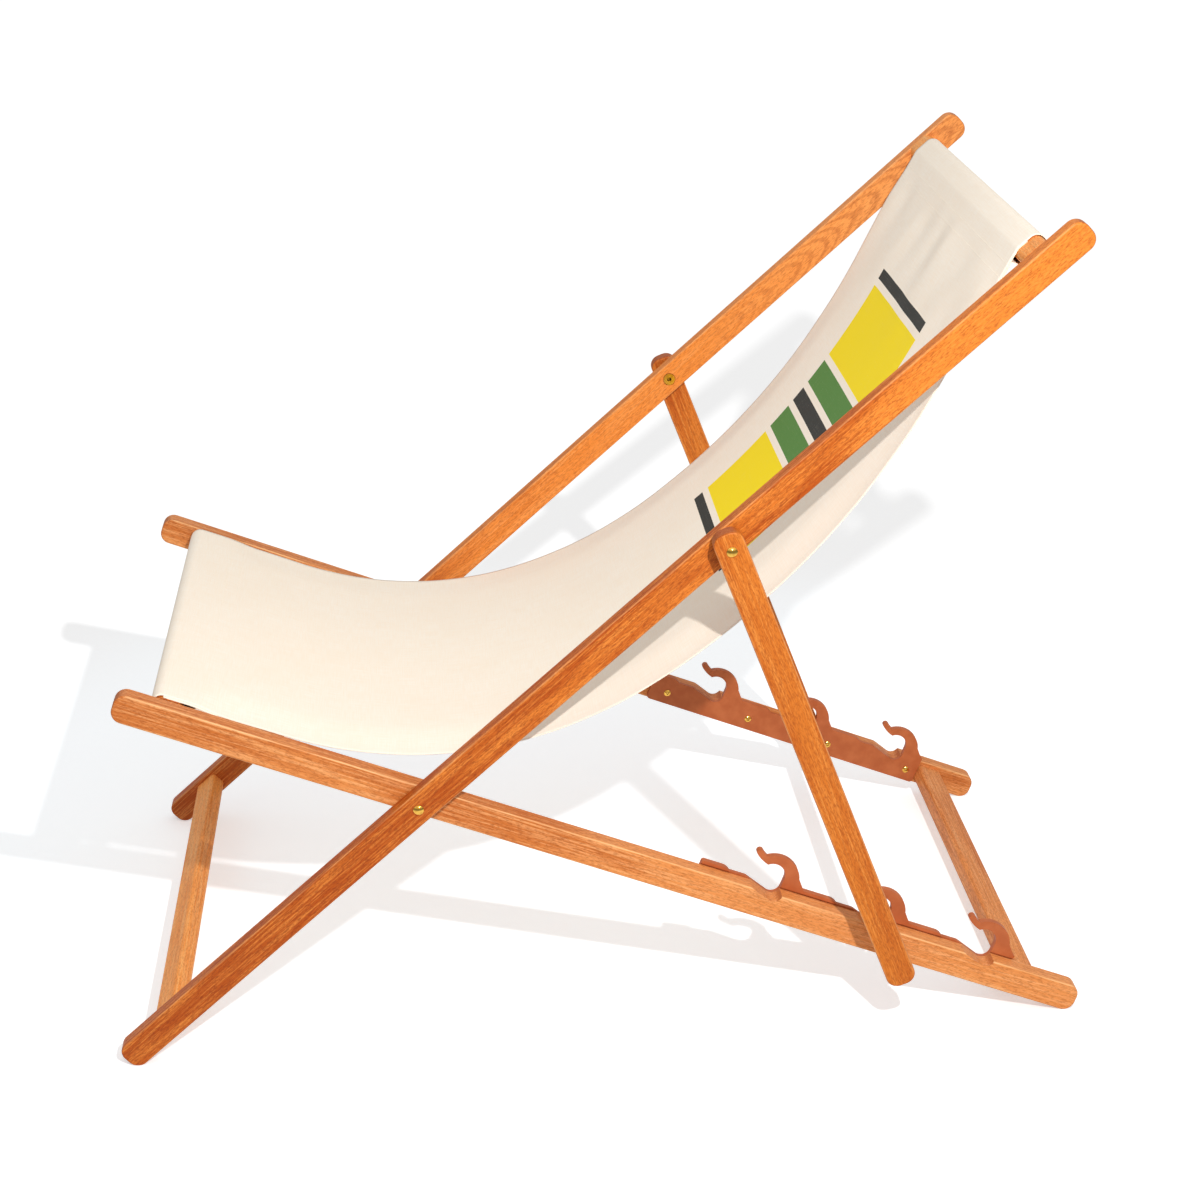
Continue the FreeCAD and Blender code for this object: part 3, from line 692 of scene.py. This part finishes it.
def sling():
    """The canvas, held by the seat frame at the front and by the back frame at the top."""
    mesh, length = cloth_mesh()
    mesh.materials.append(canvas("canvas_printed", True))
    mesh.materials.append(canvas("canvas_plain", False))
    made = add_object("canvas_sling", mesh)
    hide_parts("sling")
    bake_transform(made)
    return made, length


def stitch(verts, faces, centre, side, out):
    """One stitch: a short round thread along X that dips into the cloth at both ends."""
    base = len(verts)
    sides = STITCH_SIDES
    for share, width in STITCH_SECTIONS:
        sink = STITCH_RADIUS * (1.4 * (1 - width) - 0.35)
        for k in range(sides):
            ring = cmath.rect(STITCH_RADIUS * width, 2 * math.pi * k / sides)
            point = centre + ring * out - out * sink
            verts.append((side + share * STITCH_LENGTH, point.real, point.imag))
    for j in range(len(STITCH_SECTIONS) - 1):
        for k in range(sides):
            a = base + j * sides + k
            b = base + j * sides + (k + 1) % sides
            faces.append([a, b, b + sides, a + sides])
    faces.append([base + k for k in reversed(range(sides))])
    faces.append([len(verts) - sides + k for k in range(sides)])


def stitches(name, body, seam_at, way, finish):
    """Two rows of stitches through a hem, seen on the sheet and on its flap."""
    verts = []
    faces = []
    walked = lengths(SHEET)
    count = int(2 * (SLING_HALF - STITCH_MARGIN) / STITCH_PITCH)
    for row in STITCH_ROWS:
        t = seam_at + way * row
        i = next(k for k, gone in enumerate(walked) if gone > t) - 1
        place, angle = SHEET[i]
        place += turn(angle) * (t - walked[i])
        out = left_of(angle)
        for k in range(count):
            x = (k - (count - 1) / 2) * STITCH_PITCH
            middle_point = place + out * relief(x, t)
            stitch(verts, faces, middle_point + out * CLOTH_THICK / 2, x, out)
            under = middle_point - out * (2 * LAYER + CLOTH_THICK / 2)
            stitch(verts, faces, under, x + STITCH_PITCH / 2, -out)
    mesh = bpy.data.meshes.new(name)
    mesh.from_pydata(verts, [], faces)
    mesh.polygons.foreach_set("use_smooth", [True] * len(faces))
    mesh.materials.append(finish)
    made = add_object(name, mesh)
    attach(made, body)
    return made


def finish_frames():
    """Gives each piece of the frames its finish."""
    finishes = {
        "rack_plastic": plastic("brown_plastic", paint(180, 94, 50), paint(194, 108, 62)),
        "spacer_plastic": plastic("dark_plastic", paint(84, 52, 34), paint(104, 66, 44)),
        "brass": brass("brass"),
    }
    for i, node in enumerate(BOARDS):
        finishes[node] = wood(node, 3.0 + 3.7 * i)
    for part in frame["record"]["subparts"]:
        finish = finishes.get(part["node"], finishes.get(part["material_slot"]))
        if finish:
            mesh = frame["nodes"][part["node"]].data
            mesh.materials.clear()
            mesh.materials.append(finish)


def glowing(shade, colour, glow):
    """A matte surface that also gives off some white light of its own."""
    white = shade.add("Emission", {"Color": WHITE, "Strength": glow})
    matte = shade.add("BsdfDiffuse", {"Color": colour})
    return shade.add("AddShader", {0: white.outputs[0], 1: matte.outputs[0]}).outputs[0]


def floor():
    """A pale floor, white where it is lit, that keeps a light shadow. In gloss it fades with distance."""
    half = FLOOR_RADIUS
    mesh = bpy.data.meshes.new("floor")
    corners = [(-half, -half, 0), (half, -half, 0), (half, half, 0), (-half, half, 0)]
    mesh.from_pydata(corners, [], [(0, 1, 2, 3)])
    made = add_object("floor", mesh)
    shade = material("floor")
    path = shade.add("LightPath").outputs
    seen = shade.sum("MAXIMUM", path["Is Camera Ray"], path["Is Transmission Ray"])
    place = shade.add("TexCoord").outputs["Object"]
    away = shade.add("VectorMath", {0: place}, operation="LENGTH").outputs["Value"]
    near, edge, far = FLOOR_GLOW
    glow = shade.rank(away, *SHADOW_EDGE, near, edge)
    glow = shade.sum("ADD", glow, shade.step(away, *FLOOR_EDGE, far - edge))
    plain = shade.add("BsdfDiffuse", {"Color": FLOOR_UNSEEN}).outputs[0]
    shown = glowing(shade, shade.mix(shade.step(away, *SHADOW_EDGE), FLOOR_NEAR, FLOOR_FAR), glow)
    gloss = glowing(shade, FLOOR_IN_GLOSS, shade.rank(away, *GLOSS_EDGE, GLOW_IN_GLOSS, 0.0))
    mixed = shade.add("MixShader", {0: seen, 1: plain, 2: shown}).outputs[0]
    mixed = shade.add("MixShader", {0: path["Is Glossy Ray"], 1: mixed, 2: gloss}).outputs[0]
    shade.put(shade.tree.nodes["Material Output"].inputs["Surface"], mixed)
    mesh.materials.append(shade.owner)
    return made


def world():
    """An even pale sky, white where it is seen. In gloss it darkens towards the horizon."""
    shade = Shade(bpy.data.worlds.new("studio"))
    path = shade.add("LightPath").outputs
    seen = shade.sum("MAXIMUM", path["Is Camera Ray"], path["Is Transmission Ray"])
    level = shade.sum("MULTIPLY_ADD", seen, 1 - SKY_STRENGTH, SKY_STRENGTH)
    height = shade.split(shade.add("TexCoord").outputs["Generated"])[2]
    gloss = shade.sum("SUBTRACT", shade.rank(height, 0.0, SKY_GLOSS_HEIGHT, *SKY_IN_GLOSS), level)
    strength = shade.sum("MULTIPLY_ADD", path["Is Glossy Ray"], gloss, level)
    background = shade.tree.nodes["Background"]
    shade.put(background.inputs["Color"], WHITE)
    shade.put(background.inputs["Strength"], strength)
    bpy.context.scene.world = shade.owner


def key_light(name, ground, on_ground):
    """A small lamp that lights either the ground alone or all but the ground. On the ground its light
    doesn't fade with distance, so that the shadow stays as clear behind the chair as below it."""
    lamp = bpy.data.lights.new(name, "AREA")
    lamp.shape = "DISK"
    lamp.size = KEY_SIZE
    lamp.energy = KEY_POWER
    if on_ground:
        shade = Shade(lamp)
        even = shade.add("LightFalloff", {"Strength": 1 / KEY_PLACE.length_squared}).outputs["Constant"]
        shade.put(shade.tree.nodes["Emission"].inputs["Strength"], even)
    made = add_object(name, lamp)
    made.location = KEY_PLACE
    made.rotation_euler = (KEY_AIM - KEY_PLACE).to_track_quat("-Z", "Y").to_euler()
    reach = bpy.data.collections.new(name + "_reach")
    reach.objects.link(ground)
    reach.collection_objects[0].light_linking.link_state = "INCLUDE" if on_ground else "EXCLUDE"
    made.light_linking.receiver_collection = reach


def camera():
    """The photograph's camera, looking along -X and down."""
    level = math.cos(CAMERA_PITCH)
    fall = -math.sin(CAMERA_PITCH)
    forward = Vector((-level * math.cos(CAMERA_YAW), level * math.sin(CAMERA_YAW), fall))
    right = forward.cross(Vector((0, 0, 1))).normalized()
    up = right.cross(forward)
    tilt = Matrix.Rotation(CAMERA_ROLL, 3, -forward)
    data = bpy.data.cameras.new("camera")
    data.lens = CAMERA_LENS
    data.sensor_width = CAMERA_SENSOR
    made = add_object("camera", data)
    turned = Matrix((tilt @ right, tilt @ up, -forward)).transposed()
    made.matrix_world = Matrix.Translation(CAMERA_PLACE) @ turned.to_4x4()
    bpy.context.scene.camera = made


def main():
    bpy.context.scene.view_settings.view_transform = "Standard"
    finish_frames()
    cloth, length = sling()
    sewing = thread("hem_thread")
    front = stitches("front_hem_stitches", "seat_frame", BAR_WIDTH / 2 + SEAM_NEAR, 1, sewing)
    top = stitches("top_hem_stitches", "back_frame", SHEET_LENGTH - SEAM_NEAR, -1, sewing)
    ground = floor()
    world()
    key_light("key", ground, False)
    key_light("ground_key", ground, True)
    camera()


main()
